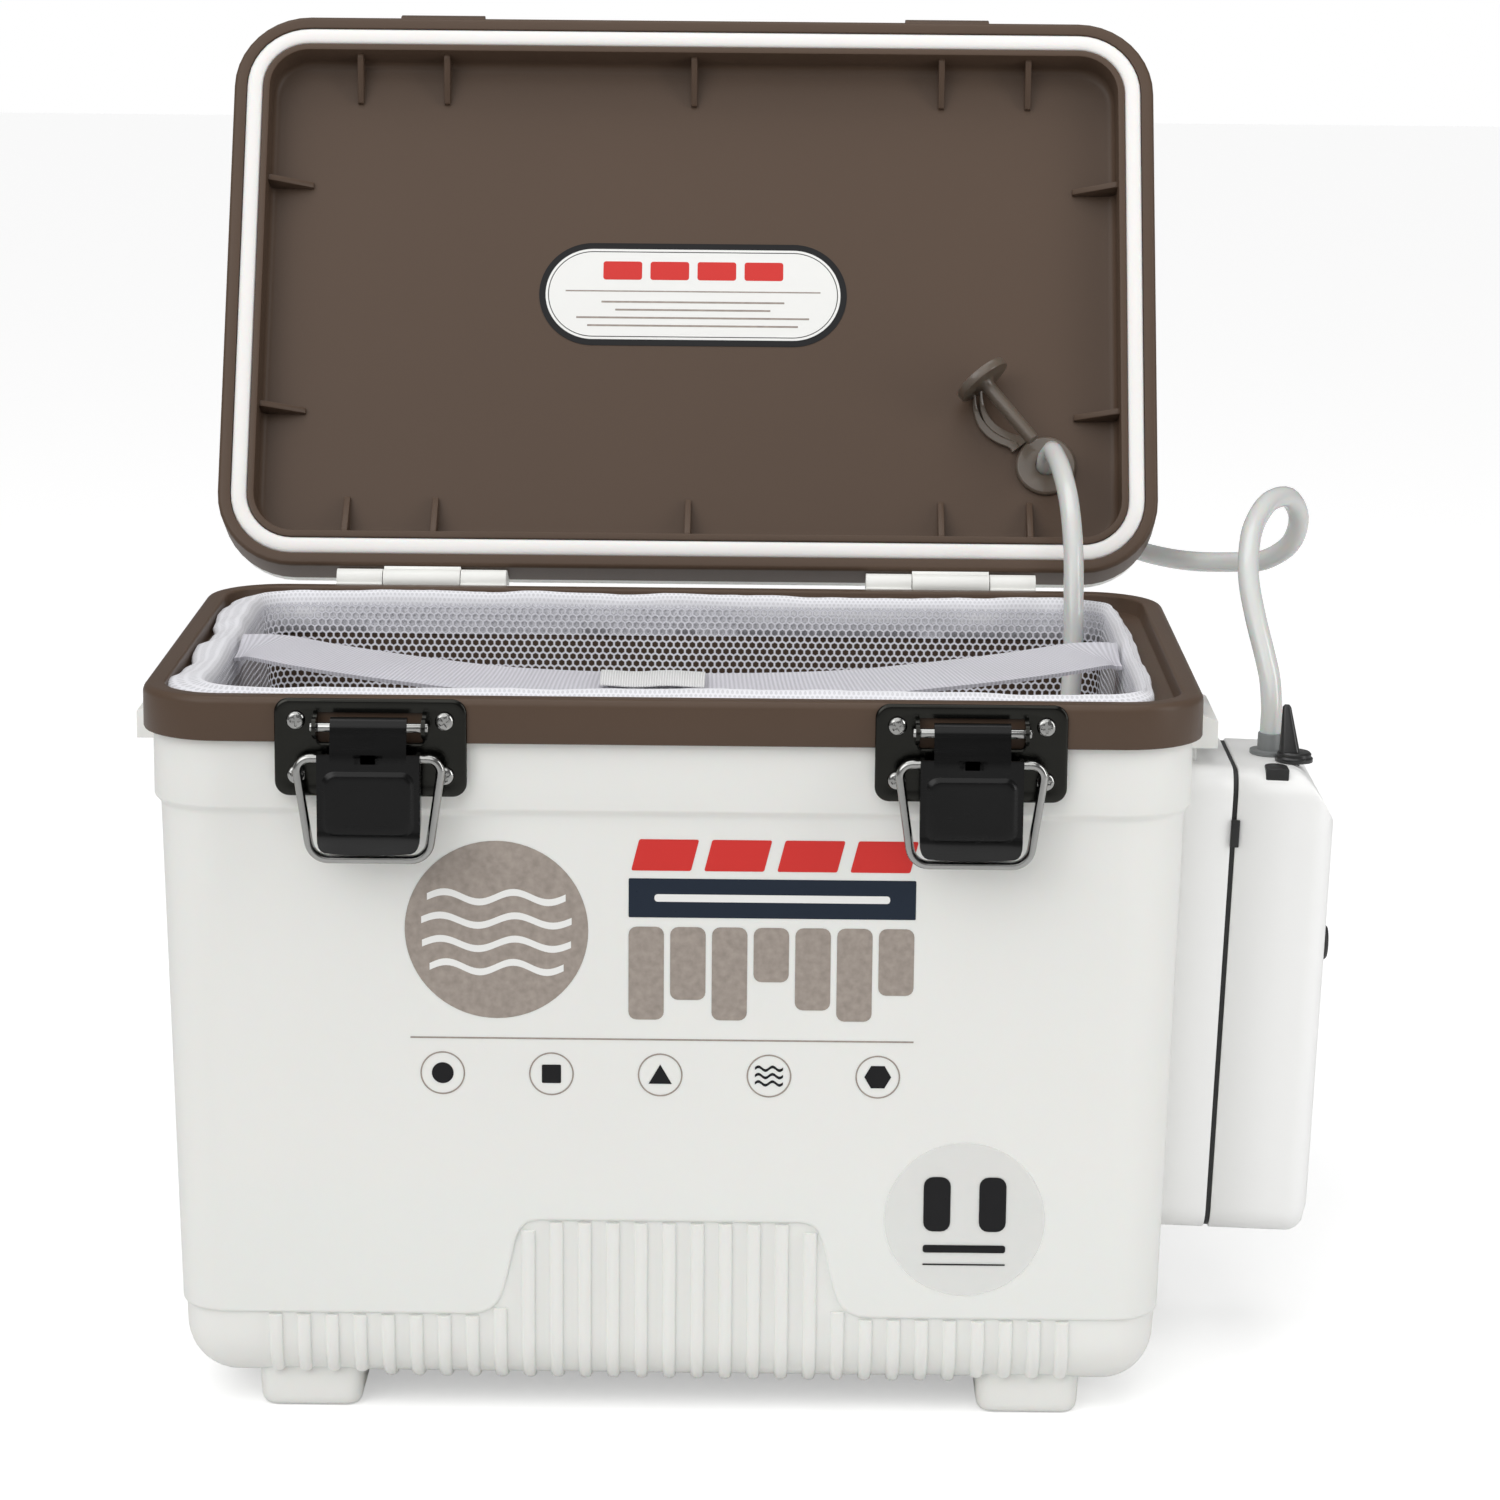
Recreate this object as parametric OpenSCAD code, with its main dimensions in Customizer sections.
// Insulated live-bait bucket: double-walled tub with a hinged lid, two draw
// latches, a net bag, and a battery air pump clipped to one end with its hose
// led through a port in the lid.
// Built standing on z = 0 with the lid open. X is the width, +Y the back.

/* [Body] */
// Width over the rim collar
body_w = 330; // [300:2:380]
// Depth over the rim collar
body_d = 208; // [196:2:240]
// Height of the rim above the floor
body_h = 235; // [215:1:270]
// Corner radius of the collar, seen from above
body_corner = 26; // [22:1:32]
// Height of the collar
collar_h = 14; // [12:0.5:18]
// How far the band under the collar sits in from it
shell_inset = 3; // [2.5:0.5:4]
// Height of the plain band under the collar
band_h = 22; // [16:1:28]
// Step in from the band to the main wall
band_step = 2; // [1:0.5:3]
// Lean of the main wall, in degrees
wall_draft = 1.5; // [0.8:0.1:2]
// Thickness of the outer shell
shell_t = 2.5; // [2:0.25:3]
// Radius of the bottom edge
bottom_edge = 18; // [15:1:19]

/* [Base] */
// Height of the panel's lower edge above the underside
panel_edge = 25; // [20:0.5:28]
// How proud the panel stands of the ribbed base
panel_proud = 1; // [0.6:0.1:1.4]
// Height of the raised notch above the panel's lower edge
notch_h = 31.5; // [18:0.5:40]
// Half width of the notch at its top
notch_half = 41; // [30:1:60]
// Width that each S-curved flank of the notch takes
notch_flank = 22; // [16:1:30]
// Spacing of the base ribs
rib_pitch = 8.9; // [8.2:0.1:10]
// Width of a base rib
rib_w = 4.3; // [3:0.1:5]
// Height of a base rib
rib_out = 1.8; // [1.2:0.1:2.2]
// Plain length left at each corner, before the first rib
rib_margin = 38; // [34:1:50]
// Height of the feet
foot_h = 9.5; // [7:0.5:12]
// Width of a foot
foot_w = 32.5; // [24:0.5:40]
// Length of a foot, front to back
foot_l = 34; // [26:1:40]
// Spacing of the feet across the body
foot_pitch = 229; // [180:1:236]
// How far a foot's outer face sits in from the collar's face
foot_inset = 18; // [15:1:24]

/* [Tub] */
// Width of the flat land on top of the rim
rim_land = 7; // [5:0.5:9]
// Width of the ledge that the net's hem lies on
ledge_w = 11; // [9:0.5:13]
// Depth of the ledge below the rim
ledge_drop = 5.5; // [4.5:0.25:7]
// Thickness of the tub's wall
tub_t = 3; // [2:0.25:4]
// Lean of the tub's wall, in degrees
tub_draft = 2.2; // [1:0.1:3]
// Height of the tub's floor above the underside
tub_floor = 27; // [22:1:36]

/* [Lid] */
// Width of the lid
lid_w = 333; // [300:1:384]
// Depth of the lid
lid_d = 208; // [196:1:240]
// Thickness of the lid
lid_h = 30; // [27:0.5:36]
// Height of the lid's brown frame
frame_h = 16.5; // [15.5:0.5:18]
// Corner radius of the lid
lid_corner = 27; // [22:1:34]
// Width of the frame's outer lip
lip_w = 4.5; // [3.5:0.25:6]
// Width of the gasket
gasket_w = 6; // [5:0.25:8]
// Depth of the lid's recessed panel
recess = 13; // [11:0.5:13.5]
// Thickness of the recessed panel
panel_t = 2.5; // [1.5:0.25:3]
// Thickness of the lid's cover
cover_t = 2.5; // [2:0.25:3]
// Length of a stiffening gusset
gusset_l = 16; // [10:0.5:20]
// Thickness of a gusset
gusset_t = 2.2; // [1.6:0.2:3]
// Angle that the lid opens to, in degrees
open_deg = 116; // [95:1:120]
// Gap between the shut lid and the rim
lid_gap = 0.5; // [0.4:0.1:0.8]

/* [Hinges] */
// Spacing of the two hinges
hinge_pitch = 186; // [150:2:220]
// Length of a hinge
hinge_l = 59.5; // [50:0.5:70]
// Length of a hinge's middle knuckle
knuckle_mid = 27; // [20:1:32]
// Outer diameter of the knuckles
knuckle_dia = 8; // [7.4:0.1:9]
// Diameter of the hinge pin
hinge_pin = 3; // [2.5:0.1:3.5]
// Thickness of a hinge leaf
leaf_t = 2.2; // [1.8:0.1:2.6]
// How far the hinge axis stands behind the collar
hinge_back = 5.5; // [5.2:0.1:6.5]

/* [Latches] */
// Spacing of the two latches
latch_pitch = 184; // [150:2:220]
// Width of a latch plate
plate_w = 59; // [56:0.5:64]
// Height of a latch plate
plate_h = 30.5; // [29:0.5:33]
// Thickness of a latch plate
plate_t = 1.2; // [1:0.1:1.5]
// Distance of the pivot below the rim
pivot_drop = 8; // [7.5:0.25:9]
// How far the pivot stands out from the collar
pivot_out = 5.8; // [5.6:0.1:6.4]
// Diameter of the pivot pin
pivot_pin = 3; // [2.6:0.1:3.2]
// Width of a lever
lever_w = 31.5; // [28:0.5:33]
// Length of a lever from the pivot to its lip
lever_l = 37.8; // [34:0.2:38]
// Thickness of a lever's sheet
lever_t = 1.2; // [1:0.1:1.4]
// Diameter of the bail wire
bail_wire = 2.8; // [2.4:0.1:3]
// Length of a bail from its anchor to its bar
bail_l = 31.4; // [31.2:0.1:32.5]
// Width of a bail at its shoulders
bail_top = 48; // [44:0.5:50]
// Width of a bail at its bar
bail_low = 38.5; // [34:0.5:42]
// Distance of a bail's anchor below the pivot
anchor_drop = 9.4; // [9:0.1:10]
// Angle that a lever lifts through, in degrees
lever_open = 160; // [90:5:160]
// Diameter of a latch screw's head
screw_head = 5.8; // [5:0.1:6.4]

/* [Strap brackets] */
// Length of a strap bracket, front to back
bracket_l = 44; // [38:1:56]
// Height of a strap bracket
bracket_h = 12.5; // [10:0.5:14]
// How far a strap bracket stands out from the band
bracket_out = 13.5; // [12.5:0.5:16]
// Width of a strap bracket's slot
slot_w = 6.5; // [6:0.25:8]

/* [Air pump] */
// Width of the pump, front to back
pump_w = 62; // [52:1:70]
// Height of the pump
pump_h = 156; // [146:1:170]
// Thickness of the pump's back shell
pump_back = 17.5; // [15:0.5:19]
// Thickness of the pump's front shell
pump_front = 32; // [31:0.5:40]
// Thickness of the gasket between the shells
pump_seal = 1.6; // [1.2:0.1:2.2]
// Wall thickness of the pump's shells
pump_t = 2.2; // [1.8:0.1:2.6]
// Width of the slope at the pump's outer top edge
pump_slope = 10; // [7:0.5:12]
// Height of the slope at the pump's outer top edge
slope_h = 17; // [12:0.5:20]
// Lean of the pump towards the body, in degrees
pump_lean = 2; // [1:0.1:2.2]
// Height of the pump's top above the floor
pump_top = 200; // [180:1:202]
// Height of the power button above the pump's bottom
button_z = 93; // [80:1:110]
// Diameter of the power button
button_dia = 12; // [10:0.5:14]
// Travel of the power button
button_travel = 1.5; // [1:0.1:2]
// Diameter of the selector knob
knob_dia = 12.4; // [10:0.2:13]
// Diameter of a battery cell
cell_dia = 33.5; // [25:0.1:33.5]
// Length of a battery cell
cell_l = 61; // [50:0.5:61.5]

/* [Hose and port] */
// Outer diameter of the air hose
hose_dia = 7; // [6:0.1:7]
// Radius of the hole through the lid's grommet
port_bore = 3.7; // [3.6:0.05:3.9]
// Distance of the port from the lid's centre line
port_x = 127.5; // [110:0.5:132]
// Distance of the port from the lid's rear edge
port_back = 43; // [36:0.5:50]
// Diameter of the port's inner ring
ring_dia = 21.6; // [19:0.2:23]
// Diameter of the plug's head
plug_head = 20.6; // [16:0.2:21]
// Length of the plug's stem
plug_stem = 29; // [24:0.5:29]
// Distance from the port to the plug's head as it hangs
plug_reach = 37; // [36.5:0.5:42]

/* [Net bag] */
// Thickness of the net
net_t = 1; // [0.8:0.1:1.4]
// Gap between the net and the tub
net_gap = 1.4; // [1:0.1:2]
// Width of the hem round the net's mouth
hem_w = 4; // [3:0.25:5]
// Height of the hem
hem_h = 2.6; // [2:0.1:3]
// Width of the net's carrying strap
strap_w = 22; // [18:1:26]

/* [Hidden] */

// colours of the materials
brown = "#615749";
white = "#e4e4dc";
steel = "#3a3a36";
black = "#1c1c1c";
mesh_white = "#e6e6ee";
clear_white = "#d8dcda";

fit = 0.05;      // radial running clearance of every pin
seat = 0.2;      // gap at which a seated piece lies
bw = body_w / 2;
bd = body_d / 2;
top_z = body_h;
collar_z = top_z - collar_h;
band_z = collar_z - band_h;
band_w = bw - shell_inset;
band_d = bd - shell_inset;
tan_wall = tan(wall_draft);

// half size of the main wall at a height, as its inset from the band
function wall_in(z) = band_step + max(0, band_z - z) * tan_wall;

deck_t = 3;                    // thickness of the rim's land
ledge_z = top_z - ledge_drop;
ledge_t = 3;
riser_w = bw - rim_land + 1;     // outer face of the wall above the ledge
riser_d = bd - rim_land + 1;
mouth_w = bw - rim_land - ledge_w;
mouth_d = bd - rim_land - ledge_w;
mouth_r = max(6, body_corner - rim_land - ledge_w + 4);
floor_z = foot_h + tub_floor;
function tub_in(z) = (ledge_z - z) * tan(tub_draft);

lid_z = top_z + lid_gap;
axis_y = bd + hinge_back;
axis_z = top_z + lid_gap / 2;
lw = lid_w / 2;
ld = lid_d / 2;
lid_shift = bd - ld;           // the lid's back edge stays over the rim's

// the row's origin is the bottom centre of the whole, lid open and pump on
pump_x = band_w + 1;           // the pump's back face, at its top
left_x = -(band_w + bracket_out);
function lid_y(y, w) = axis_y + (y + lid_shift - axis_y) * cos(open_deg)
    + (lid_z + w - axis_z) * sin(open_deg);
function lid_zz(y, w) = axis_z - (y + lid_shift - axis_y) * sin(open_deg)
    + (lid_z + w - axis_z) * cos(open_deg);
right_x = pump_x + (pump_back + pump_seal + pump_front + 4) * cos(pump_lean)
    - (pump_h - button_z) * sin(pump_lean);
back_y = lid_y(-ld + 5.4, lid_h - 1.6);
front_y = -bd - pivot_out - 7.5;
shift_x = (left_x + right_x) / 2;
shift_y = (front_y + back_y) / 2;
module placed() translate([-shift_x, -shift_y, 0]) children();

// ---- general shapes ----
module round_rect(w, d, r) {
    square([2 * w - 2 * r, 2 * d], center = true);
    square([2 * w, 2 * d - 2 * r], center = true);
    for (sx = [-1, 1], sy = [-1, 1])
        translate([sx * (w - r), sy * (d - r)]) circle(r, $fn = 24);
}
module prism(w, d, r, z0, z1)
    translate([0, 0, z0]) linear_extrude(z1 - z0) round_rect(w, d, r);
// points round a rectangle with round corners, at the height z
function round_ring(w, d, r, z) = [for (q = [0 : 3], i = [0 : 6])
    let (a = 90 * q + 15 * i, sx = q == 0 || q == 3 ? 1 : -1, sy = q < 2 ? 1 : -1)
    [sx * (w - r) + r * cos(a), sy * (d - r) + r * sin(a), z]];
// solid through rings that have the same number of points
module loft(rings) {
    n = len(rings[0]);
    m = len(rings);
    polyhedron([for (ring = rings, p = ring) p], concat(
        [[for (k = [0 : n - 1]) k]],
        [for (i = [0 : m - 2], k = [0 : n - 1], t = [0, 1]) let (j = (k + 1) % n)
            t == 0 ? [i * n + k, (i + 1) * n + k, (i + 1) * n + j]
            : [i * n + k, (i + 1) * n + j, i * n + j]],
        [[for (k = [n - 1 : -1 : 0]) (m - 1) * n + k]]));
}
// a rounded box through slices [inset, z], each inset from the first outline
module slices(w, d, r, list) loft([for (s = list)
    round_ring(w - s[0], d - s[0], max(1.5, r - s[0]), s[1])]);
// an outline drawn in X and Z, given a thickness from y = 0 towards the front
module upright(t) rotate([90, 0, 0]) linear_extrude(t) children();
function arc(cx, cy, r, a0, a1, n) =
    [for (i = [0 : n]) let (a = a0 + (a1 - a0) * i / n)
        [cx + r * cos(a), cy + r * sin(a)]];

// ---- outer shell ----
module shell_form(inset, top) {
    r = bottom_edge - inset;
    zb = foot_h + inset;
    slices(band_w - inset, band_d - inset, body_corner - shell_inset, concat(
        [for (a = [0 : 30 : 90])
            [wall_in(zb + r) + r * (1 - sin(a)), zb + r * (1 - cos(a))]],
        top));
}
edge_z = foot_h + panel_edge;
// fall of the notch's flank: share of its width, share of its height
notch_curve = [[0, 1], [0.1, 0.99], [0.19, 0.965], [0.27, 0.905], [0.33, 0.8],
    [0.38, 0.65], [0.44, 0.46], [0.5, 0.29], [0.56, 0.175], [0.63, 0.1],
    [0.72, 0.05], [0.84, 0.015], [1, 0]];
function notch_z(x) = edge_z + notch_h
    * lookup((abs(x) - notch_half) / notch_flank, notch_curve);
notch_side = [for (c = notch_curve)
    [notch_half + notch_flank * c[0], edge_z + notch_h * c[1]]];
// outline, seen from the front, of what stands below the raised panel
module below_panel() translate([0, bd + 5, 0]) upright(2 * bd + 10)
    polygon(concat(
        [[-bw - 5, -1], [-bw - 5, edge_z]],
        [for (i = [len(notch_side) - 1 : -1 : 0])
            [-notch_side[i][0], notch_side[i][1]]],
        notch_side, [[bw + 5, edge_z], [bw + 5, -1]]));
// height at which the rib at x starts, just under the panel's edge
function rib_top(x) = notch_z(abs(x) + rib_w / 2) - 0.6;
// one base rib, swept down the wall and round the bottom edge
rib_form = [[-1, 0.05], [-0.65, 0.75], [0, 1], [0.65, 0.75], [1, 0.05]];
module rib(half, top, over_foot) {
    r = bottom_edge - panel_proud;
    zb = foot_h + panel_proud;
    zt = zb + r;
    yw = half - panel_proud - wall_in(zt);
    under = [for (a = [0 : 30 : 90])
        [yw - r * (1 - cos(a)), zt - r * sin(a), a]];
    // a rib above a foot stops on the round edge, clear of the foot
    t = (under[1][0] - foot_front) / (under[1][0] - under[2][0]);
    ring = concat([[yw + (top - zt) * tan_wall, top, 0]],
        over_foot ? [under[0], under[1], under[1] + t * (under[2] - under[1])]
            : under);
    n = len(rib_form);
    points = [for (s = ring, p = rib_form) let (o = p[1] * rib_out)
        [p[0] * rib_w / 2, s[0] + o * cos(s[2]), s[1] - o * sin(s[2])]];
    polyhedron(points, concat(
        [[for (k = [0 : n - 1]) k]],
        [for (i = [0 : len(ring) - 2], k = [0 : n - 1])
            [i * n + k, (i + 1) * n + k, (i + 1) * n + (k + 1) % n,
                i * n + (k + 1) % n]],
        [[for (k = [n - 1 : -1 : 0]) (len(ring) - 1) * n + k]]));
}
foot_front = bd - foot_inset + 0.8;   // a rib above a foot ends here
module ribs_along(half_len, half, notched) {
    n = floor((half_len - rib_margin) / rib_pitch);
    for (i = [-n : n]) translate([i * rib_pitch, 0, 0])
        rib(half, notched ? rib_top(i * rib_pitch) : edge_z - 0.6,
            notched && abs(abs(i * rib_pitch) - foot_pitch / 2)
                < (foot_w + rib_w) / 2 + 0.8);
}
pad_w = plate_w - 5;
pad_z = top_z - plate_h + 1;
module foot() loft([
    round_ring(foot_w / 2 - 2.5, foot_l / 2 - 2.5, 4, 0),
    round_ring(foot_w / 2, foot_l / 2, 5, 2.5),
    round_ring(foot_w / 2 + 0.5, foot_l / 2 + 0.5, 5, foot_h + 5)]);
// slices of the space inside the shell
function core_slices(gap, top) = let (z = foot_h + bottom_edge, w = wall_in(z)) [
    [w + bottom_edge - 7, foot_h + 4 + gap], [w + 5, foot_h + 7.5],
    [w + 1.6, z - 5], [wall_in(z + 4), z + 4], [band_step, band_z - 1.4],
    [0, band_z + 0.6], [0, top]];
shell_top = top_z - deck_t - 0.3;
base_top = edge_z + notch_h + 4;
module outer_shell() color(white) placed() difference() {
    union() {
        // base, with the panel and the band standing proud above it
        shell_form(panel_proud, [[wall_in(base_top), base_top]]);
        difference() {
            shell_form(0, [[band_step, band_z - 1.4], [0, band_z + 0.6],
                [0, shell_top]]);
            below_panel();
        }
        for (sx = [-1, 1], sy = [-1, 1])
            translate([sx * foot_pitch / 2,
                sy * (bd - foot_inset - foot_l / 2), 0]) foot();
        // pads that carry the lower half of each latch plate
        for (s = [-1, 1]) translate([s * latch_pitch / 2, -band_d + 0.5, 0])
            upright(shell_inset + 0.5)
                translate([-pad_w / 2, pad_z])
                    square([pad_w, collar_z - 0.3 - pad_z]);
    }
    // hollow for the foam
    slices(band_w - shell_t, band_d - shell_t, body_corner - shell_inset
        - shell_t, core_slices(0, shell_top + 1));
}

// ribs of the base, from just under the panel's edge to the underside
module base_ribs() color(white) placed()
    for (s = [0, 180]) rotate([0, 0, s]) {
        ribs_along(bw, band_d, true);
        rotate([0, 0, 90]) ribs_along(bd, band_w, false);
    }

// ---- foam core ----
foam_gap = 0.3;
module tub_outer(gap) slices(mouth_w + tub_t + gap, mouth_d + tub_t + gap,
    mouth_r + tub_t, [[tub_in(floor_z), floor_z - tub_t - gap],
        [0, ledge_z - 0.5]]);
module foam_core() color("#e8e2c8") placed() difference() {
    slices(band_w - shell_t - foam_gap, band_d - shell_t - foam_gap,
        body_corner - shell_inset - shell_t,
        core_slices(foam_gap, ledge_z - ledge_t - foam_gap));
    tub_outer(foam_gap);
}

// ---- inner tub, with the rim collar ----
module inner_tub() color(brown) placed() difference() {
    union() {
        slices(bw, bd, body_corner, [[0, collar_z], [0, top_z - 3],
            [0.4, top_z - 1.5], [1.2, top_z - 0.5], [2.6, top_z]]);
        tub_outer(0);
    }
    // hollow under the land, and under the ledge
    difference() {
        prism(band_w + 0.3, band_d + 0.3, body_corner - shell_inset,
            collar_z - 1, top_z - deck_t);
        prism(riser_w, riser_d, body_corner - rim_land + 1, 0, top_z);
    }
    difference() {
        prism(riser_w + 0.5, riser_d + 0.5, body_corner - rim_land + 1,
            collar_z - 1, ledge_z - ledge_t);
        tub_outer(0);
    }
    // step down to the ledge
    slices(bw - rim_land, bd - rim_land, body_corner - rim_land + 2,
        [[0.8, ledge_z], [0.4, top_z - 1], [-0.6, top_z + 0.1]]);
    // the well
    slices(mouth_w, mouth_d, mouth_r, [
        [tub_in(floor_z) + 5, floor_z],
        [tub_in(floor_z) + 1.5, floor_z + 1.5],
        [tub_in(floor_z + 5), floor_z + 5], [0, ledge_z + 0.1]]);
}

// ---- hinges ----
knuckle_r = knuckle_dia / 2;
knuckle_gap = 0.3;
module knuckle(x0, x1) translate([x0, axis_y, axis_z]) rotate([0, 90, 0])
    cylinder(h = x1 - x0, r = knuckle_r, $fn = 32);
module pin_bore() translate([-hinge_l, axis_y, axis_z]) rotate([0, 90, 0])
    cylinder(h = 2 * hinge_l, r = hinge_pin / 2 + fit, $fn = 32);
leaf_h = collar_h - 2;
module leaf_screws(z, out) for (x = [-1, 1])
    translate([x * hinge_l * 0.32, out, z]) rotate([-90, 0, 0])
        children();
module body_leaf() {
    mid = knuckle_mid / 2 + knuckle_gap;
    difference() {
        union() {
            translate([-hinge_l / 2, bd + seat, collar_z + 1])
                cube([hinge_l, leaf_t, leaf_h - 3]);
            for (s = [-1, 1]) {
                x0 = s < 0 ? -hinge_l / 2 : mid;
                x1 = s < 0 ? -mid : hinge_l / 2;
                knuckle(x0, x1);
                // web from the leaf up to the knuckle
                translate([x0, bd + seat, collar_z + leaf_h - 3])
                    cube([x1 - x0, leaf_t, 3 + lid_gap]);
                translate([x0, bd + seat, axis_z - knuckle_r])
                    cube([x1 - x0, hinge_back - seat, knuckle_r - 0.3]);
            }
        }
        pin_bore();
        leaf_screws((collar_z + collar_z + leaf_h - 2) / 2, bd + seat - 1)
            cylinder(h = leaf_t + 2, r = 1.6, $fn = 24);
    }
}
module hinge_body_leaves() color(white) placed()
    for (s = [-1, 1]) translate([s * hinge_pitch / 2, 0, 0]) body_leaf();
module lid_leaf() {
    mid = knuckle_mid / 2;
    difference() {
        union() {
            translate([-hinge_l / 2, bd + seat, lid_z + 4])
                cube([hinge_l, leaf_t, frame_h - 5]);
            knuckle(-mid, mid);
            translate([-mid, bd + seat, axis_z + 0.3])
                cube([2 * mid, leaf_t, lid_z + 5 - axis_z]);
            translate([-mid, bd + seat, axis_z + 0.3])
                cube([2 * mid, axis_y - bd - seat, knuckle_r - 0.3]);
        }
        pin_bore();
        leaf_screws(lid_z + 4 + (frame_h - 5) / 2, bd + seat - 1)
            cylinder(h = leaf_t + 2, r = 1.6, $fn = 24);
    }
}
// puts what is drawn on the shut lid where it stands with the lid open
module turned_open() placed() translate([0, axis_y, axis_z])
    rotate([-open_deg, 0, 0]) translate([0, -axis_y, -axis_z]) children();
module on_lid() turned_open() translate([0, lid_shift, 0]) children();
module hinge_lid_leaves() color(white) turned_open()
    for (s = [-1, 1]) translate([s * hinge_pitch / 2, 0, 0]) lid_leaf();
module hinge_pins() color(steel) placed()
    for (s = [-1, 1])
        translate([s * hinge_pitch / 2 - hinge_l / 2 + 0.5, axis_y, axis_z])
            rotate([0, 90, 0])
                cylinder(h = hinge_l - 1, r = hinge_pin / 2, $fn = 32);
// pan-head screw, its head on z = 0 and its shank below
module pan_screw(head, shank, l) rotate_extrude($fn = 32)
    polygon(concat([[0, -l], [shank / 2, -l], [shank / 2, 0]],
        [[head / 2, 0], [head / 2, 0.5], [head * 0.36, 1.2],
            [head * 0.18, 1.5], [0, 1.5]]));
module hinge_body_screws() color(white) placed()
    for (s = [-1, 1]) translate([s * hinge_pitch / 2, 0, 0])
        leaf_screws((collar_z + collar_z + leaf_h - 2) / 2, bd + seat + leaf_t)
            pan_screw(5, 3, leaf_t - 0.1);
module hinge_lid_screws() color(white) turned_open()
    for (s = [-1, 1]) translate([s * hinge_pitch / 2, 0, 0])
        leaf_screws(lid_z + 4 + (frame_h - 5) / 2, bd + seat + leaf_t)
            pan_screw(5, 3, leaf_t - 0.1);

// ---- latches ----
plate_y = -bd - seat;                 // back face of the plate
pivot_y = -bd - pivot_out;
pivot_z = top_z - pivot_drop;
ear_x = lever_w / 2 + 0.35;           // inner face of an ear
ear_t = 1.2;
window_h = 12.4;
window_z = pivot_z - window_h / 2 + 0.4;
screw_dx = 45.5;
screw_dz = 17;
screw_z = top_z - plate_h / 2;
module latch_plate() difference() {
    union() {
        translate([0, plate_y, 0]) upright(plate_t) difference() {
            translate([0, top_z - plate_h / 2])
                round_rect(plate_w / 2, plate_h / 2, 4.5);
            translate([-ear_x, window_z]) square([2 * ear_x, window_h]);
        }
        // ears folded out of the window, which carry the pin
        for (s = [-1, 1]) translate([s * (ear_x + ear_t / 2), 0, 0])
            rotate([0, 0, 90]) rotate([90, 0, 0])
                translate([0, 0, -ear_t / 2]) linear_extrude(ear_t)
                    ear_outline();
    }
    translate([-plate_w / 2, pivot_y, pivot_z]) rotate([0, 90, 0])
        cylinder(h = plate_w, r = pivot_pin / 2 + fit, $fn = 32);
    for (x = [-1, 1], z = [-1, 1])
        translate([x * screw_dx / 2, plate_y + 1, screw_z + z * screw_dz / 2])
            rotate([90, 0, 0]) cylinder(h = plate_t + 2, r = 1.6, $fn = 24);
}
// side view of an ear: a strip from the plate with a round end on the pin
module ear_outline() {
    translate([pivot_y, pivot_z]) circle(3.4, $fn = 32);
    translate([pivot_y, pivot_z - 3.4]) square([plate_y - pivot_y, 6.8]);
}
module latch_plate_left() color(steel) placed()
    translate([-latch_pitch / 2, 0, 0]) latch_plate();
module latch_plate_right() color(steel) placed()
    translate([latch_pitch / 2, 0, 0]) latch_plate();
module latch_screws() color(steel) placed()
    for (s = [-1, 1], x = [-1, 1], z = [-1, 1])
        translate([s * latch_pitch / 2 + x * screw_dx / 2, plate_y - plate_t,
            screw_z + z * screw_dz / 2]) rotate([90, 0, 0])
            pan_screw(screw_head, 3, plate_t - 0.1);
module latch_pin() translate([-(ear_x + ear_t + 0.8), pivot_y, pivot_z])
    rotate([0, 90, 0]) cylinder(h = 2 * (ear_x + ear_t + 0.8),
        r = pivot_pin / 2, $fn = 32);
module latch_pin_left() color(steel) placed()
    translate([-latch_pitch / 2, 0, 0]) latch_pin();
module latch_pin_right() color(steel) placed()
    translate([latch_pitch / 2, 0, 0]) latch_pin();

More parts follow.
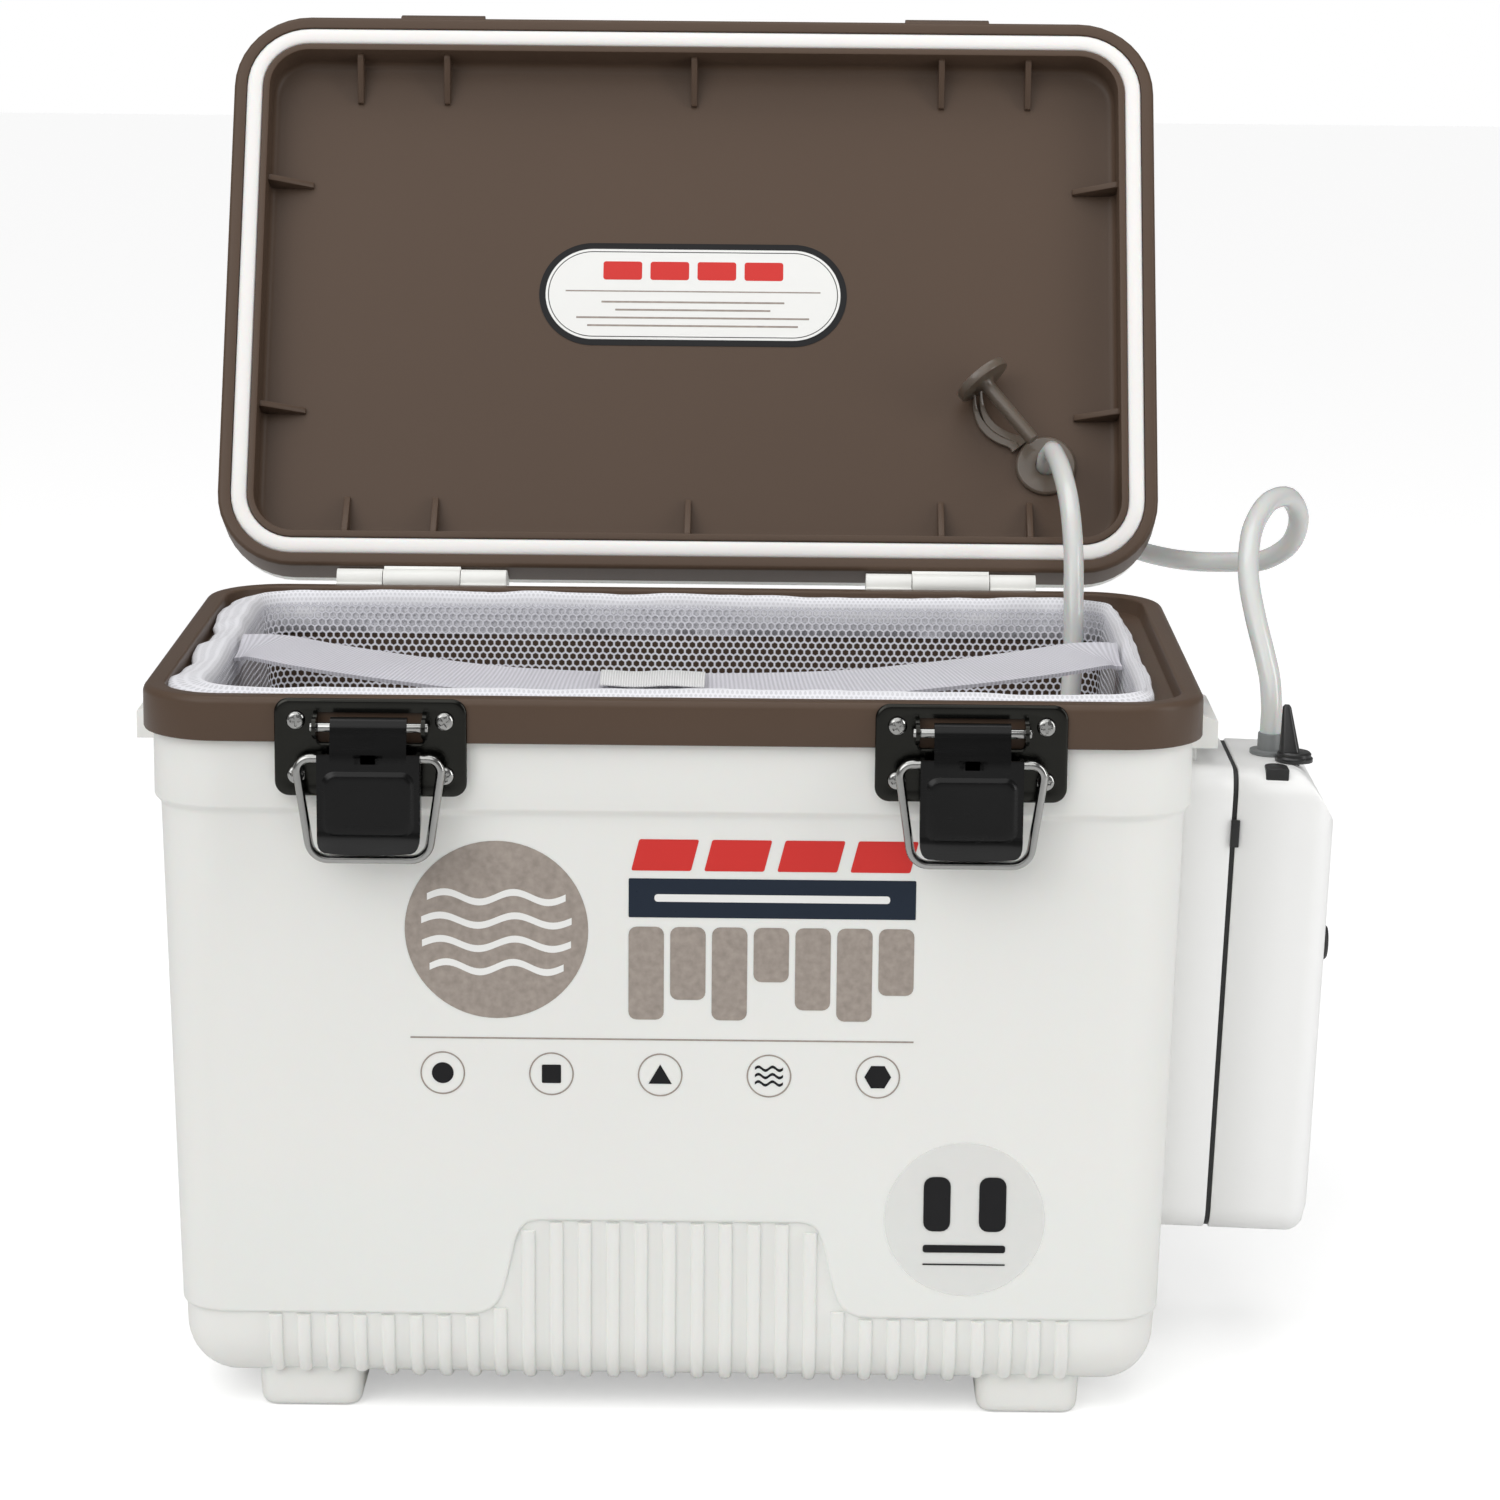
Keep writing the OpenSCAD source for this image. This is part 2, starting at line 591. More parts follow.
// lever: a sheet curled round the pin, with folded sides and a raised pad
curl_r = 3.2;
face_y = pivot_y - 4.9;               // outer face of the lever's sheet
anchor_y = pivot_y - 1.4;
anchor_z = pivot_z - anchor_drop;
tongue_w = lever_w - 8;
module along_x(w) translate([-w / 2, 0, 0]) rotate([90, 0, 90])
    linear_extrude(w) children();
module latch_lever() {
    low = pivot_z - lever_l;
    difference() {
        union() {
            // curl and tongue
            translate([-tongue_w / 2, pivot_y, pivot_z]) rotate([0, 90, 0])
                cylinder(h = tongue_w, r = curl_r, $fn = 32);
            along_x(tongue_w) polygon([
                [pivot_y - curl_r, pivot_z], [face_y, pivot_z - 7],
                [face_y, pivot_z - 10], [face_y + lever_t, pivot_z - 10],
                [face_y + lever_t, pivot_z - 7.3],
                [pivot_y - curl_r + lever_t, pivot_z - 2]]);
            // main sheet, flared at its lip
            along_x(lever_w) polygon([
                [face_y, pivot_z - 7.5], [face_y, low + 4.5],
                [face_y - 2.6, low + 0.4], [face_y - 1.8, low],
                [face_y + 0.6, low + 3.6], [face_y + lever_t, low + 5],
                [face_y + lever_t, pivot_z - 7.5]]);
            // raised pad
            translate([0, face_y + 0.1, 0]) upright(0.9)
                polygon(concat([[-11.6, low + 5], [11.6, low + 5]],
                    arc(8.6, pivot_z - 17, 3, 0, 90, 6),
                    arc(-8.6, pivot_z - 17, 3, 90, 180, 6)));
            // folded sides
            for (s = [-1, 1])
                translate([s * (lever_w - lever_t) / 2, 0, 0])
                    along_x(lever_t) polygon([
                        [face_y + 0.5, pivot_z - 7.5],
                        [pivot_y + 1.4, pivot_z - 7.5],
                        [pivot_y + 1.4, low + 9], [pivot_y - 1.6, low + 6],
                        [face_y + 0.5, low + 5]]);
        }
        translate([-plate_w / 2, pivot_y, pivot_z]) rotate([0, 90, 0])
            cylinder(h = plate_w, r = pivot_pin / 2 + fit, $fn = 32);
        translate([-plate_w / 2, anchor_y, anchor_z]) rotate([0, 90, 0])
            cylinder(h = plate_w, r = bail_wire / 2 + fit, $fn = 32);
    }
}
module latch_lever_left() color(steel) placed()
    translate([-latch_pitch / 2, 0, 0]) latch_lever();
module latch_lever_right() color(steel) placed()
    translate([latch_pitch / 2, 0, 0]) latch_lever();

// bail: one bent wire, its ends turned in through the lever's sides
shoulder_bend = 4;
corner_bend = 6;
// points round the bend at the corner p, from direction u to direction v
function bend(p, u, v, b) = let (k = acos(u * v), t = b * tan(k / 2),
        side = unit(u * (u * v) - v), mid = p - u * t - side * b)
    [for (i = [0 : 4]) let (a = k * i / 4)
        mid + b * (side * cos(a) + u * sin(a))];
module latch_bail() {
    r = bail_wire / 2;
    z = anchor_z;
    top = [bail_top / 2 - r, z];
    low = [bail_low / 2 - r, z - bail_l];
    leg = unit(low - top);
    half = concat([[lever_w / 2 + 1.5, z]], bend(top, [1, 0], leg, shoulder_bend),
        bend(low, leg, [-1, 0], corner_bend));
    n = len(half);
    tube([for (i = [0 : 2 * n - 1]) let (m = i < n ? half[i]
            : half[2 * n - 1 - i]) [i < n ? m[0] : -m[0], anchor_y, m[1]]],
        r - 0.04, 12);
    // the ends, which turn in the lever's sides
    for (s = [-1, 1]) translate([s * (lever_w / 2 + 1.9), anchor_y, z])
        rotate([0, -s * 90, 0]) cylinder(h = 3.5 + lever_t, r = r, $fn = 32);
}
module latch_bail_left() color(steel) placed()
    translate([-latch_pitch / 2, 0, 0]) latch_bail();
module latch_bail_right() color(steel) placed()
    translate([latch_pitch / 2, 0, 0]) latch_bail();

// ---- strap brackets ----
bracket_z = collar_z - 3.5 - bracket_h;
module bracket() difference() {
    union() {
        translate([band_w + seat, -bracket_l / 2, bracket_z])
            cube([bracket_out - seat, bracket_l, bracket_h]);
        translate([band_w + seat, -bracket_l / 2 - 5, bracket_z])
            cube([2.4, bracket_l + 10, bracket_h]);
    }
    // slot for a strap
    translate([band_w + 2.8, -bracket_l / 2 + 6, bracket_z - 1])
        cube([slot_w, bracket_l - 12, bracket_h + 2]);
    // sloped top
    translate([0, bracket_l, 0]) upright(2 * bracket_l)
        polygon([[band_w + 4, bracket_z + bracket_h + 0.01],
            [band_w + bracket_out + 1, bracket_z + bracket_h - 4],
            [band_w + bracket_out + 1, bracket_z + bracket_h + 1],
            [band_w + 4, bracket_z + bracket_h + 1]]);
    for (s = [-1, 1])
        translate([band_w, s * (bracket_l / 2 + 2.5),
            bracket_z + bracket_h / 2]) rotate([0, 90, 0])
            cylinder(h = 6, r = 1.3, $fn = 24);
}
module strap_bracket_right() color(white) placed() bracket();
module strap_bracket_left() color(white) placed() mirror([1, 0, 0]) bracket();
module bracket_screws() color(steel) placed()
    for (m = [0, 1], s = [-1, 1]) mirror([m, 0, 0])
        translate([band_w + seat + 2.4, s * (bracket_l / 2 + 2.5),
            bracket_z + bracket_h / 2]) rotate([0, 90, 0])
            pan_screw(4.4, 2.4, 2.3);

// ---- lid ----
groove_w = lw - lip_w;
groove_d = ld - lip_w;
groove_r = lid_corner - lip_w;
inner_w = groove_w - gasket_w;
inner_d = groove_d - gasket_w;
inner_r = groove_r - gasket_w;
rim_wall = 2.5;
port_y = ld - port_back;
module port_hole(r) translate([port_x, port_y, lid_z - 1])
    cylinder(h = lid_h + 3, r = r, $fn = 32);
sleeve_r = port_bore + 2;
gusset_end = 45;                      // outer gusset, from the lid's end
gusset_next = 76.5;
gusset_side = 61;                     // end gusset, from the lid's side
gusset_x = [gusset_end - lw, gusset_next - lw, 0, lw - gusset_next,
    lw - gusset_end];
module lid_frame() color(brown) on_lid() difference() {
    union() {
        difference() {
            prism(lw, ld, lid_corner, lid_z, lid_z + frame_h);
            // gasket groove
            difference() {
                prism(groove_w, groove_d, groove_r, lid_z - 1, lid_z + 2.5);
                prism(inner_w, inner_d, inner_r, lid_z - 1, lid_z + 3);
            }
            // recess
            prism(inner_w - rim_wall, inner_d - rim_wall, inner_r - rim_wall,
                lid_z - 1, lid_z + recess);
            // hollow for the foam
            difference() {
                prism(lw - 3, ld - 3, lid_corner - 3, lid_z + 5,
                    lid_z + frame_h + 1);
                prism(inner_w, inner_d, inner_r, lid_z,
                    lid_z + recess + panel_t);
            }
        }
        // gussets round the recess
        for (x = gusset_x, s = [0, 180])
            rotate([0, 0, s]) translate([x, inner_d - rim_wall, 0]) gusset();
        for (y = [-1, 1] * (ld - gusset_side), s = [0, 180])
            rotate([0, 0, s]) translate([0, y, 0]) rotate([0, 0, -90])
                translate([0, inner_w - rim_wall, 0]) gusset();
        // keepers for the bails
        for (s = [-1, 1]) translate([s * latch_pitch / 2, 0, 0])
            along_x(bail_low - 8) keeper_outline();
    }
    port_hole(sleeve_r + 0.1);
}
// side view of a keeper: a hook whose notch takes the bail's bar
keep_lean = 9;                        // lean of a hooked bail towards the lid
bar_z = anchor_z + bail_l * cos(keep_lean);
module keeper_outline() polygon([
    [-ld + 0.5, bar_z - 9], [-ld - 2.4, bar_z - 8], [-ld - 4.4, bar_z - 4.5],
    [-ld - 4.4, bar_z - 0.6], [-ld - 3.6, bar_z - 0.6],
    [-ld - 3.2, bar_z - bail_wire / 2 - 0.35], [-ld + 0.5,
        bar_z - bail_wire / 2 - 0.35]]);
module gusset() translate([0, 0.3, lid_z]) along_x(gusset_t)
    polygon([[0, recess + 0.5], [-gusset_l, recess + 0.5],
        [-gusset_l, recess - 1.6], [-1, 3.5], [0, 3.5]]);
module lid_cover() color(white) on_lid() difference() {
    slices(lw, ld, lid_corner, [[0.6, lid_z + frame_h + 0.1],
        [0.8, lid_z + lid_h - 8.5], [2.2, lid_z + lid_h - 4.5],
        [5.4, lid_z + lid_h - 1.6], [12, lid_z + lid_h]]);
    slices(lw - cover_t, ld - cover_t, lid_corner - cover_t, [
        [0.8, lid_z + frame_h - 1], [1, lid_z + lid_h - 9],
        [12, lid_z + lid_h - cover_t]]);
    port_hole(sleeve_r + 0.1);
}
module lid_foam() color("#e8e2c8") on_lid() difference() {
    union() {
        difference() {
            prism(lw - 3.3, ld - 3.3, lid_corner - 3.3, lid_z + 5.2,
                lid_z + frame_h);
            prism(inner_w + 0.3, inner_d + 0.3, inner_r + 0.3, lid_z,
                lid_z + frame_h + 4);
        }
        prism(lw - 4.6, ld - 4.6, lid_corner - 4.6,
            lid_z + recess + panel_t + 0.2, lid_z + frame_h + 2);
        prism(lw - 15, ld - 15, lid_corner - 12, lid_z + frame_h,
            lid_z + lid_h - cover_t - 0.3);
    }
    port_hole(sleeve_r + 0.4);
}
module lid_gasket() color("#f3efee") on_lid() difference() {
    union() {
        prism(groove_w - 0.1, groove_d - 0.1, groove_r, lid_z + 0.6,
            lid_z + 2.4);
        prism(groove_w - 1, groove_d - 1, groove_r - 1, lid_z - 0.15,
            lid_z + 0.7);
    }
    prism(inner_w + 0.1, inner_d + 0.1, inner_r + 0.1, lid_z - 1, lid_z + 3);
    prism(inner_w + 1, inner_d + 1, inner_r + 1, lid_z - 1, lid_z + 0.6);
}
ring_z = lid_z + recess - 0.15;       // face of the panel that the ring lies on
ring_t = 2;
module port_grommet() color("#6a6157") on_lid()
    translate([port_x, port_y, 0]) rotate_extrude($fn = 48) polygon([
        [port_bore, ring_z - ring_t], [ring_dia / 2 - 0.8, ring_z - ring_t],
        [ring_dia / 2, ring_z - ring_t + 0.8], [ring_dia / 2, ring_z],
        [sleeve_r, ring_z], [sleeve_r, lid_z + lid_h + 0.15],
        [8.4, lid_z + lid_h + 0.15], [8.4, lid_z + lid_h + 0.8],
        [7.8, lid_z + lid_h + 1.4], [port_bore, lid_z + lid_h + 1.4]]);
// plug: head, stem and strap in one, lying back on the panel
plug_az = atan2(-29, -23.2);          // direction from the port to the head
stem_dia = 5;
module port_plug() color("#6a6157") on_lid()
    translate([port_x, port_y, ring_z - 0.15]) rotate([0, 0, plug_az]) {
        // the head stands on edge, its stem pointing back at the port
        translate([plug_reach, 0, -plug_head / 2 - 0.2]) rotate([0, -90, 0]) {
            translate([0, 0, -1.6]) cylinder(h = 3.2, r = plug_head / 2,
                $fn = 48);
            cylinder(h = plug_stem, r = stem_dia / 2, $fn = 32);
            cylinder(h = 3.4, r = stem_dia / 2 + 1.1, $fn = 32);
        }
        // strap along the panel
        difference() {
            translate([ring_dia / 2 + 0.3, -3.3, -1.9])
                cube([plug_reach - ring_dia / 2 + 1, 6.6, 1.9]);
            translate([plug_reach - 6, -1.4, -3]) cube([2, 2.8, 4]);
        }
    }

// ---- net bag ----
module net_form(gap, z0) slices(mouth_w - gap, mouth_d - gap,
    max(4, mouth_r - gap), [[tub_in(z0) + 3, z0], [tub_in(z0), z0 + 6],
        [0, ledge_z + 3]]);
hem_z = ledge_z + seat;
module net_bag() color(mesh_white) placed() difference() {
    net_form(net_gap, floor_z + seat + 0.1);
    slices(mouth_w - net_gap - net_t, mouth_d - net_gap - net_t,
        max(3, mouth_r - net_gap - net_t), [
        [tub_in(floor_z) + 3, floor_z + seat + 0.1 + net_t],
        [tub_in(floor_z), floor_z + 6 + net_t], [0, ledge_z + 3.1]]);
    translate([-bw, -bd, hem_z + hem_h - 0.4]) cube([body_w, body_d, 20]);
}
module net_hem() color(mesh_white) placed() difference() {
    prism(mouth_w - net_gap + 0.2 + hem_w, mouth_d - net_gap + 0.2 + hem_w,
        mouth_r + 2, hem_z, hem_z + hem_h);
    prism(mouth_w - net_gap + 0.2, mouth_d - net_gap + 0.2,
        mouth_r - net_gap + 0.2, hem_z - 1, hem_z + hem_h + 1);
}
// strap: a band lying nearly flat, from one end of the net round the front
strap_sag = [[-1, -2, 1.4], [-0.93, -5, 2.2], [-0.8, -24, 2.8],
    [-0.6, -42, 2.4], [-0.35, -54, 1.2], [0, -58, 0.7], [0.35, -54, 1.2],
    [0.6, -42, 2.4], [0.8, -24, 2.8], [0.93, -5, 2.2], [1, -2, 1.4]];
strap_t = 1.4;
strap_tilt = 10;
module net_strap() {
    w = mouth_w - net_gap - net_t - 0.4;
    ring = [for (s = strap_sag) [s[0] * w, s[1], hem_z + s[2]]];
    // each ring is a thin rectangle, its back edge a little higher
    n = len(ring);
    points = [for (i = [0 : n - 1]) let (p = ring[i],
            a = ring[max(0, i - 1)], b = ring[min(n - 1, i + 1)], t = b - a,
            q = i == 0 || i == n - 1 ? [0, 1, 0]
                : [-t[1], t[0], 0] / norm([t[0], t[1]]),
            across = q * cos(strap_tilt) + [0, 0, sin(strap_tilt)],
            out = q * -sin(strap_tilt) + [0, 0, cos(strap_tilt)])
        for (k = [[-1, -1], [1, -1], [1, 1], [-1, 1]])
            p - k[0] * strap_t / 2 * out + k[1] * strap_w / 2 * across];
    color(mesh_white) placed() polyhedron(points, concat([[0, 1, 2, 3]],
        [for (i = [0 : n - 2], k = [0 : 3])
            [i * 4 + k, (i + 1) * 4 + k, (i + 1) * 4 + (k + 1) % 4,
                i * 4 + (k + 1) % 4]],
        [[for (k = [3 : -1 : 0]) (n - 1) * 4 + k]]));
}

// ---- air pump ----
// drawn upright with its back on x = 0 and its bottom on z = 0
module on_pump() placed() translate([pump_x, 0, pump_top])
    rotate([0, pump_lean, 0]) translate([0, 0, -pump_h]) children();
module pump_outline(w, h, r, t) rotate([90, 0, 90])
    linear_extrude(t) translate([0, h / 2]) round_rect(w / 2, h / 2, r);
pump_r = 9;                    // corner radius of the pump, seen from its face
module pump_cavity(x0, x1) translate([x0, 0, pump_t])
    pump_outline(pump_w - 2 * pump_t, pump_h - 2 * pump_t, pump_r - pump_t,
        x1 - x0);
back_x = pump_back;
front_x = pump_back + pump_seal;
outer_x = front_x + pump_front;
module front_side() polygon(concat(
    [[front_x, 0], [outer_x - 6, 0]],
    arc(outer_x - 6, 6, 6, -90, 0, 6),
    [[outer_x, pump_h - slope_h - 1]],
    [[outer_x - 0.6, pump_h - slope_h + 1.5],
        [outer_x - pump_slope + 1.2, pump_h - 2],
        [outer_x - pump_slope - 1.4, pump_h]],
    [[front_x, pump_h]]));
module back_side() polygon(concat([[back_x, 0]], [[back_x, pump_h]],
    [[3, pump_h], [0, pump_h - 3], [0, 3], [3, 0]]));
module along_y(w) translate([0, w / 2, 0]) upright(w) children();
module pump_top_view() polygon(concat(
    [[-1, -pump_w / 2], [outer_x - 5, -pump_w / 2]],
    arc(outer_x - 5, -pump_w / 2 + 5, 5, -90, 0, 5),
    arc(outer_x - 5, pump_w / 2 - 5, 5, 0, 90, 5),
    [[-1, pump_w / 2]]));
nozzle_x = front_x + 12.5;
knob_x = front_x + 19.5;
knob_y = -11;
vent_x = front_x + 12.5;
vent_y = -pump_w / 2 + 8.5;
module pump_front_shell() color(white) on_pump() difference() {
    intersection() {
        along_y(pump_w) front_side();
        pump_outline(pump_w, pump_h, pump_r, outer_x);
        linear_extrude(pump_h) pump_top_view();
    }
    pump_cavity(front_x - 1, outer_x - pump_slope - pump_t - 2);
    translate([front_x - 1, -pump_w / 2 + pump_t + 4, pump_t + 6])
        cube([pump_front - pump_t + 1, pump_w - 2 * pump_t - 8,
            pump_h - slope_h - 14]);
    translate([knob_x, knob_y, pump_h - pump_t - 1])
        cylinder(h = 8, r = 2 + fit, $fn = 24);
    translate([nozzle_x, 0, pump_h - pump_t - 1])
        cylinder(h = 8, r = 2.2, $fn = 24);
    translate([outer_x - pump_t - 1, 0, button_z]) rotate([0, 90, 0])
        cylinder(h = 8, r = button_dia / 2 - 1 + fit, $fn = 32);
    translate([vent_x, vent_y, pump_h - 11]) vent_form(0.1);
}
// tongue that rises behind the pump into the bracket's slot
tongue_l = bracket_z + bracket_h - pump_top - 2;
module pump_back_shell() color(white) union() {
    on_pump() difference() {
        intersection() {
            along_y(pump_w) back_side();
            pump_outline(pump_w, pump_h, pump_r, back_x);
        }
        pump_cavity(pump_t, back_x + 1);
    }
    // tongue that rises into the bracket's slot, with a catch at its top
    placed() along_y(bracket_l - 14) polygon([
        [band_w + 4, pump_top - 3], [band_w + 7.4, pump_top - 3],
        [band_w + 7.4, pump_top + tongue_l - 5],
        [band_w + 9, pump_top + tongue_l - 5],
        [band_w + 7.4, pump_top + tongue_l],
        [band_w + 4, pump_top + tongue_l]]);
}
module pump_gasket() color(black) on_pump() difference() {
    union() {
        translate([back_x + 0.02, 0, 0.8])
            pump_outline(pump_w - 1.6, pump_h - 1.6, pump_r - 0.8,
                pump_seal - 0.04);
        // small tab that laps over the seam at the front
        translate([back_x + 0.02, -pump_w / 2 - 0.9, pump_h - 25])
            cube([pump_seal - 0.04, 2.5, 9]);
        translate([back_x + 0.02, -pump_w / 2 - 0.9, pump_h - 25])
            cube([2.6, 0.8, 9]);
    }
    pump_cavity(back_x - 1, front_x + 1);
}
module pump_nozzle() color("#4a4c4c") on_pump()
    translate([nozzle_x, 0, pump_h + 0.05]) difference() {
        union() {
            cylinder(h = 1.4, r = 6.4, $fn = 32);
            cylinder(h = 7, r = 4, $fn = 32);
            translate([0, 0, -pump_t]) cylinder(h = pump_t + 1, r = 2.1,
                $fn = 24);
        }
        translate([0, 0, -pump_t - 1]) cylinder(h = 8, r = 1, $fn = 24);
    }
module selector_knob() color(black) on_pump()
    translate([knob_x, knob_y, pump_h + 0.3]) {
        rotate_extrude($fn = 48) polygon([[0, 0], [knob_dia / 2, 0],
            [knob_dia / 2, 1.2], [knob_dia / 2 - 0.6, 1.7],
            [knob_dia / 2 - 0.6, 2.6], [knob_dia / 2 - 1.2, 3.2], [0, 3.2]]);
        translate([0, 0, -pump_t - 0.8]) cylinder(h = pump_t + 1, r = 2,
            $fn = 32);
        // grip that leans over the disc
        hull() {
            translate([-1.6, 0, 3]) linear_extrude(0.1)
                round_rect(3.3, 2.6, 1.6);
            translate([-3.4, 0, 17.6]) linear_extrude(0.1)
                round_rect(1.4, 1.3, 1);
            translate([-3.4, 0, 18.4]) linear_extrude(0.1)
                round_rect(0.8, 0.8, 0.6);
        }
    }
// black plug let into the top front edge
module vent_form(gap) {
    cylinder(h = 11 + 0.8, r = 3.7 + gap, $fn = 32);
    translate([-3.7 - gap, -9 - gap, 0]) cube([7.4 + 2 * gap, 9 + gap, 11.8]);
}
module pump_vent_plug() color(black) on_pump() difference() {
    translate([vent_x, vent_y, pump_h - 11]) vent_form(0);
    // cut to the wedge that shows on the front face
    translate([vent_x - 6, -pump_w / 2 - 20, 0]) rotate([0, 0, 90])
        upright(12) polygon([[10, pump_h - 20], [20.8, pump_h - 12],
            [22.4, pump_h - 3], [22.4, pump_h + 4], [10, pump_h + 4]]);
}
module power_button() color(black) on_pump()
    translate([outer_x + 0.1 + button_travel, 0, button_z])
        rotate([0, 90, 0]) {
            rotate_extrude($fn = 48) polygon([[0, 0], [button_dia / 2, 0],
                [button_dia / 2, 1.4], [button_dia / 2 - 0.9, 2.4], [0, 2.4]]);
            translate([0, 0, -pump_t - button_travel - 1])
                cylinder(h = pump_t + button_travel + 1.5,
                    r = button_dia / 2 - 1, $fn = 48);
        }
cell_z = pump_t + 6.3;
module battery_cells() color("#8a7440") on_pump()
    for (i = [0, 1])
        translate([front_x + 5.6, 0, cell_z + i * (cell_l + 1.2)]) {
            cylinder(h = cell_l - 1.6, r = cell_dia / 2, $fn = 48);
            cylinder(h = cell_l, r = 4.6, $fn = 32);
        }
contact_dia = 16;
contact_w = 12;
contact_d = 10;
contact_t = 0.8;
module battery_contacts() color("#c9b27a") on_pump()
    translate([front_x + 5.6, 0, 0]) {
        translate([0, 0, pump_t + 0.1])
            cylinder(h = contact_t, r = contact_dia / 2, $fn = 32);
        translate([0, 0, pump_t + 0.8]) cylinder(h = cell_z - pump_t - 1,
            r1 = 5.5, r2 = 3, $fn = 32);
        translate([-contact_d / 2, -contact_w / 2, cell_z + 2 * cell_l + 1.3])
            cube([contact_d, contact_w, contact_t]);
    }
motor_z = cell_z + 2 * cell_l + 2.3;
motor_w = 36;
motor_d = 20;
module pump_motor() color("#9a9da0") on_pump() {
    translate([front_x - motor_d / 2, -motor_w / 2, motor_z])
        cube([motor_d, motor_w, pump_h - pump_t - motor_z - 0.2]);
    translate([front_x + 9, 4, motor_z + 6]) rotate([0, 90, 0])
        cylinder(h = 7, r = 5.5, $fn = 32);
}

// ---- air hose ----
// routes of the hose's middle line, cooler-centred, X, Y, Z
route_outer = [
    [194.9, 0.5, 217], [194.3, 2.5, 224], [192.6, 6, 231.8], [190.2, 12, 241.8],
    [188.4, 20, 252.8], [189, 29, 261.4], [191.6, 40, 268.8],
    [197.9, 54, 274.5], [206, 68, 274], [211, 79, 265.5], [209.3, 87, 255],
    [201.6, 98, 247.4], [192.7, 112, 244.3], [180.3, 138, 240.2],
    [169.4, 166, 237.7], [158.5, 185, 238.3], [146.5, 195.5, 241],
    [135.5, 195.5, 245.3], [129, 188.5, 250.3], [127.6, 179.5, 254.9]];
route_inner = [
    [129, 128, 281], [131, 112, 277], [133, 96, 268], [134, 82, 254],
    [134, 74, 238], [134, 70, 220], [133, 66, 200], [131, 60, 170],
    [128, 54, 140], [122, 48, 110], [112, 43, 82], [99, 38, 60],
    [84, 33, 48]];
function catmull(p, q, r, s, t) = 0.5 * ((2 * q) + (r - p) * t
    + (2 * p - 5 * q + 4 * r - s) * t * t
    + (3 * q - p - 3 * r + s) * t * t * t);
function smooth(path, n) = let (m = len(path)) concat(
    [for (i = [0 : m - 2], k = [0 : n - 1])
        catmull(path[max(0, i - 1)], path[i], path[i + 1],
            path[min(m - 1, i + 2)], k / n)], [path[m - 1]]);
function unit(v) = v / norm(v);
function turned(u, t0, t1) = let (c = cross(t0, t1), s = norm(c), d = t0 * t1)
    s < 1e-6 ? u : let (k = c / s)
        u * d + cross(k, u) * s + k * (k * u) * (1 - d);
function tangents(p) = let (n = len(p)) [for (i = [0 : n - 1])
    unit(p[min(n - 1, i + 1)] - p[max(0, i - 1)])];
function carried(t, u, i, out) = i >= len(t) ? out
    : let (v = i == 0 ? u : turned(u, t[i - 1], t[i]))
        carried(t, v, i + 1, concat(out, [v]));
module tube(path, r, sides) {
    t = tangents(path);
    u0 = unit(cross(t[0], abs(t[0][0]) < 0.9 ? [1, 0, 0] : [0, 1, 0]));
    u = carried(t, u0, 0, []);
    n = len(path);
    points = [for (i = [0 : n - 1]) let (v = cross(t[i], u[i]))
        for (k = [0 : sides - 1])
            path[i] + r * (cos(360 * k / sides) * u[i]
                + sin(360 * k / sides) * v)];
    polyhedron(points, concat(
        [[for (k = [0 : sides - 1]) k]],
        [for (i = [0 : n - 2], k = [0 : sides - 1])
            [i * sides + k, (i + 1) * sides + k,
                (i + 1) * sides + (k + 1) % sides, i * sides + (k + 1) % sides]],
        [[for (k = [sides - 1 : -1 : 0]) (n - 1) * sides + k]]));
}
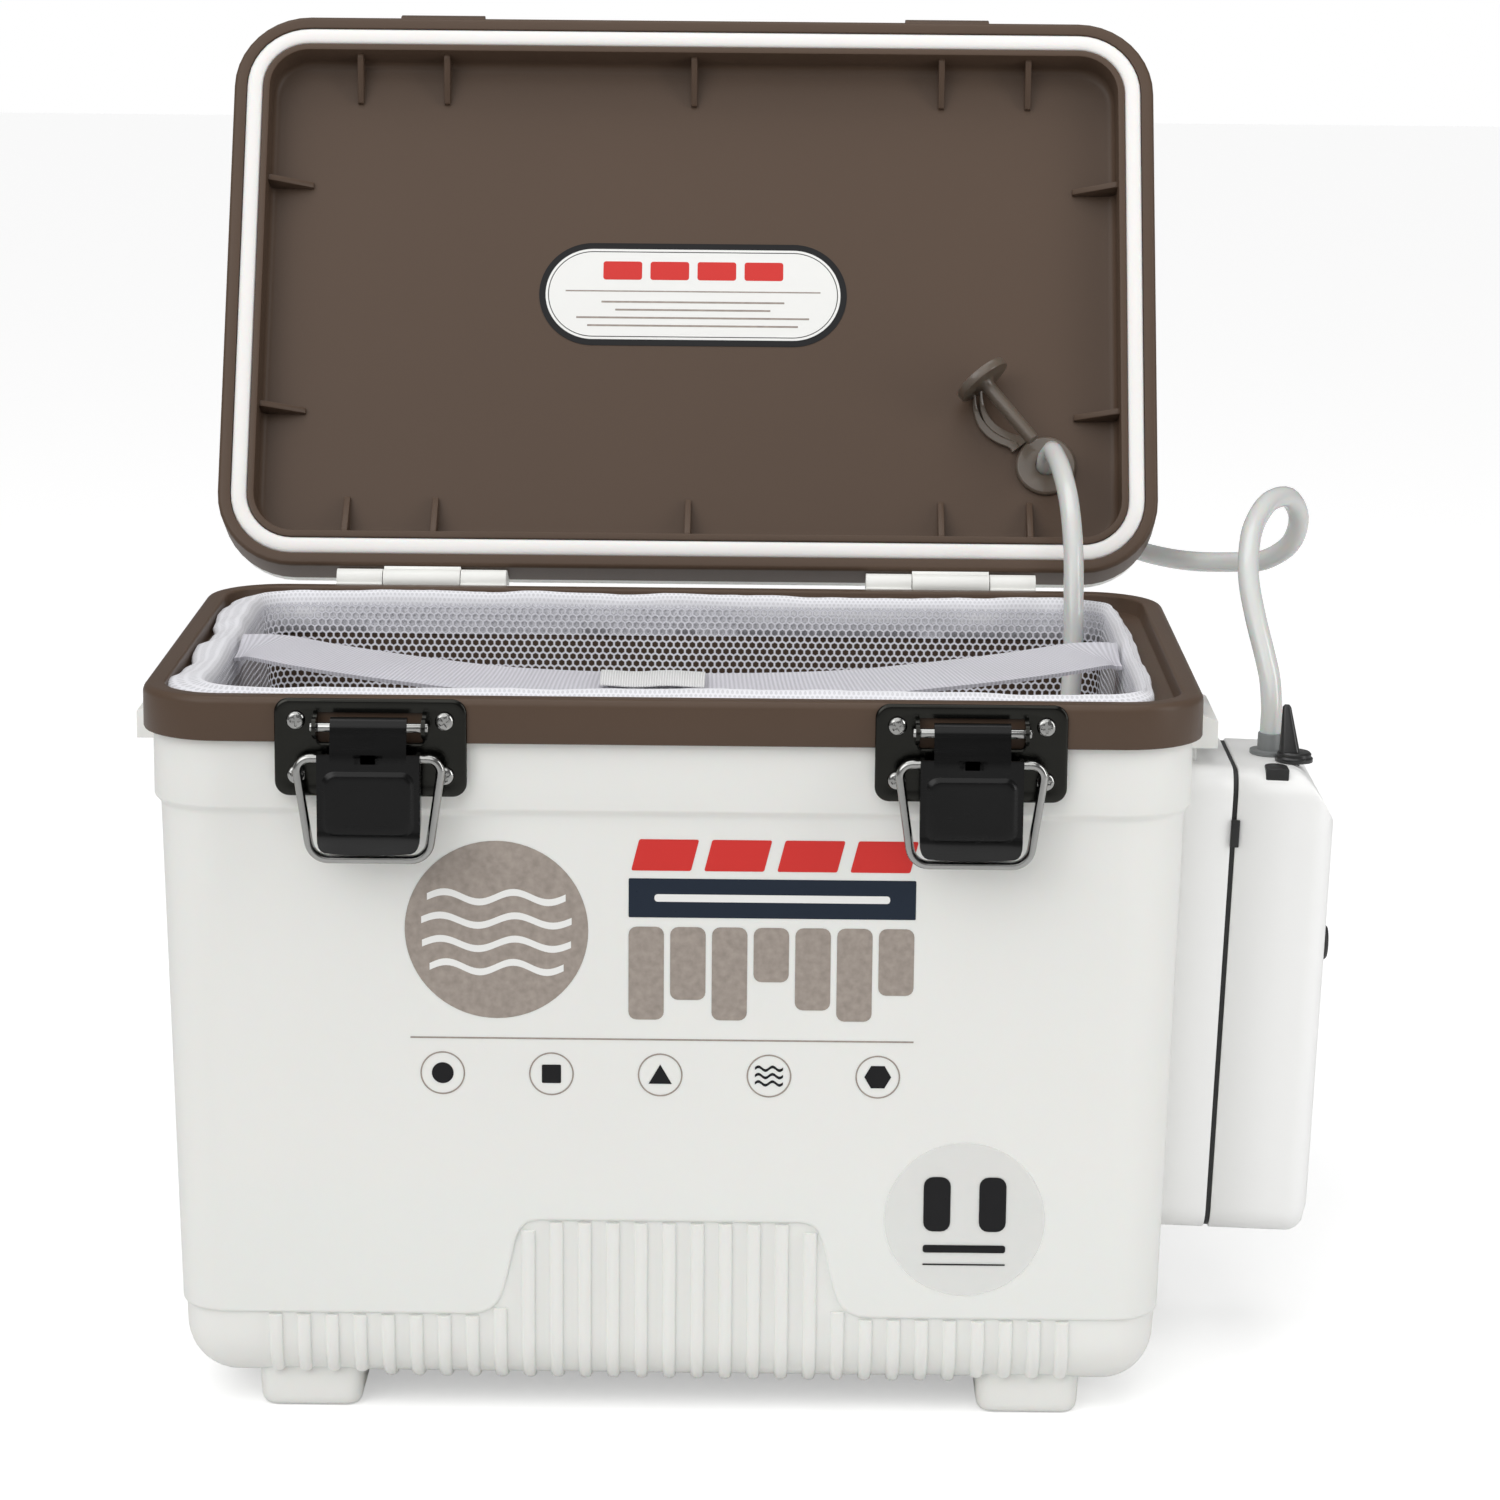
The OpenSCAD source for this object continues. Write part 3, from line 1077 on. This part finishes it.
// where the nozzle's mouth and the port's two mouths lie
function pump_point(x, z) = [
    pump_x + x * cos(pump_lean) + (z - pump_h) * sin(pump_lean), 0,
    pump_top - x * sin(pump_lean) + (z - pump_h) * cos(pump_lean)];
nozzle_tip = pump_point(nozzle_x, pump_h + 7.1);
nozzle_dir = [sin(pump_lean), 0, cos(pump_lean)];
function port_at(w) = [port_x, lid_y(port_y, w), lid_zz(port_y, w)];
port_dir = [0, sin(open_deg), cos(open_deg)];
module air_hose_outer() color(clear_white) placed() tube(concat(
    [nozzle_tip, nozzle_tip + 7 * nozzle_dir], smooth(route_outer, 2),
    [port_at(lid_h + 15), port_at(lid_h + 9), port_at(lid_h + 1.5)]),
    hose_dia / 2, 10);
module air_hose_inner() color(clear_white) placed() tube(concat(
    [port_at(lid_h + 1.4), port_at(8), port_at(2)],
    smooth(route_inner, 2), [stone_end]), hose_dia / 2, 10);
stone_r = 7.6;
stone_end = [70, 29, floor_z + seat + 0.1 + net_t + stone_r + 0.1];
module air_stone() color("#7f9bb0") placed() translate(stone_end)
    rotate([0, 0, atan2(4, 14)]) rotate([0, -90, 0])
        rotate_extrude($fn = 32) polygon([[0, 0.15], [2.4, 0.15], [2.4, 5],
            [stone_r - 0.6, 5.6], [stone_r, 6.6], [stone_r, 28],
            [stone_r - 1, 29], [0, 29]]);

outer_shell();
base_ribs();
foam_core();
inner_tub();
hinge_body_leaves();
hinge_lid_leaves();
hinge_pins();
hinge_body_screws();
hinge_lid_screws();
latch_plate_left();
latch_plate_right();
latch_screws();
latch_pin_left();
latch_pin_right();
latch_lever_left();
latch_lever_right();
latch_bail_left();
latch_bail_right();
strap_bracket_left();
strap_bracket_right();
bracket_screws();
lid_cover();
lid_frame();
lid_foam();
lid_gasket();
port_grommet();
port_plug();
net_bag();
net_hem();
net_strap();
pump_back_shell();
pump_front_shell();
pump_gasket();
pump_nozzle();
selector_knob();
pump_vent_plug();
power_button();
pump_motor();
battery_cells();
battery_contacts();
air_hose_outer();
air_hose_inner();
air_stone();
